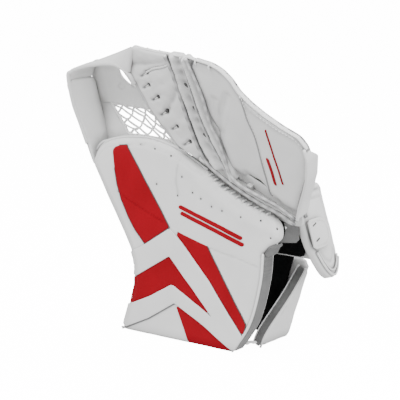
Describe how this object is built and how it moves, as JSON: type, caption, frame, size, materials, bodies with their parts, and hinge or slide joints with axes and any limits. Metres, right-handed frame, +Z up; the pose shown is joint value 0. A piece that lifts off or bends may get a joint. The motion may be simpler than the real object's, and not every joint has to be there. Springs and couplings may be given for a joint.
{
  "type": "goalie catch glove",
  "caption": "Ice hockey goalie catch glove with one-piece laced thumb and cuff pad, netted pocket, hinged finger section, backhand pad and wrist strap.",
  "frame": {"origin": "middle of the bottom edge of the thumb and cuff pad, half way through the pad's thickness", "axes": "+X along the front of the cuff towards the little finger, +Y from the palm side towards the back of the hand, +Z up from the cuff to the finger tips"},
  "size_m": [0.3994, 0.186, 0.3807],
  "materials": {
    "white_leather": "smooth coated synthetic leather, satin",
    "red_leather": "smooth coated synthetic leather, satin",
    "grey_knit": "fine knit binding",
    "black_lining": "brushed knit lining",
    "foam": "closed-cell foam",
    "stiffener": "matte sheet plastic",
    "lace": "waxed round lace",
    "dark_eyelet": "matte dark enamel",
    "hook_and_loop": "hook and loop tape"
  },
  "bodies": {
    "thumb_cuff": {"front_skin": "white_leather", "front_foam": "foam", "front_board": "stiffener", "front_lining": "black_lining", "thumb_inlay": "red_leather", "diagonal_inlay": "red_leather", "chevron_inlay": "red_leather", "hem_inlay": "red_leather", "front_edge_binding": "grey_knit", "thumb_rim_binding": "grey_knit", "break_lacing": "lace", "front_eyelets": "dark_eyelet", "cuff_thumb_wall": "white_leather", "cuff_back_wall": "white_leather", "cuff_pinky_panel": "white_leather", "pinky_edge_binding": "grey_knit", "cuff_lining": "black_lining", "cuff_lace": "lace", "palm_pad": "black_lining", "thumb_stall_sides": "black_lining", "thumb_back_cover": "white_leather", "pocket_side_wall": "white_leather", "tee_top_band": "white_leather", "tee_web": "white_leather", "pocket_net": "lace", "pocket_floor": "white_leather", "wrist_strap": "grey_knit"},
    "finger_section": {"finger_palm_skin": "white_leather", "finger_foam": "foam", "finger_board_insert": "stiffener", "outer_roll": "white_leather", "inner_roll": "white_leather", "lace_strip": "white_leather", "strip_laces": "lace", "finger_edge_binding": "grey_knit", "finger_tip_binding": "grey_knit", "finger_stall_walls": "black_lining", "finger_stall_tips": "black_lining", "finger_back_cover": "white_leather"},
    "backhand": {"backhand_pad": "white_leather", "backhand_lining": "black_lining", "backhand_wing": "white_leather", "hook_patch": "hook_and_loop"},
    "strap_tab_body": {"strap_tab": "white_leather", "loop_patch": "hook_and_loop"}
  },
  "joints": [
    {"name": "glove_close", "type": "hinge", "parent": "thumb_cuff", "child": "finger_section", "pos_m": [0.054, -0.011, 0.227], "axis": [0.9225, 0, -0.3859], "range_deg": [0, 50]},
    {"name": "backhand_lift", "type": "hinge", "parent": "thumb_cuff", "child": "backhand", "pos_m": [0.12, 0.062, 0.204], "axis": [1, 0, 0], "range_deg": [0, 30]},
    {"name": "strap_peel", "type": "hinge", "parent": "backhand", "child": "strap_tab_body", "pos_m": [0.2, 0.031, 0.12], "axis": [0.2453, 0, -0.9694], "range_deg": [0, 100]}
  ]
}
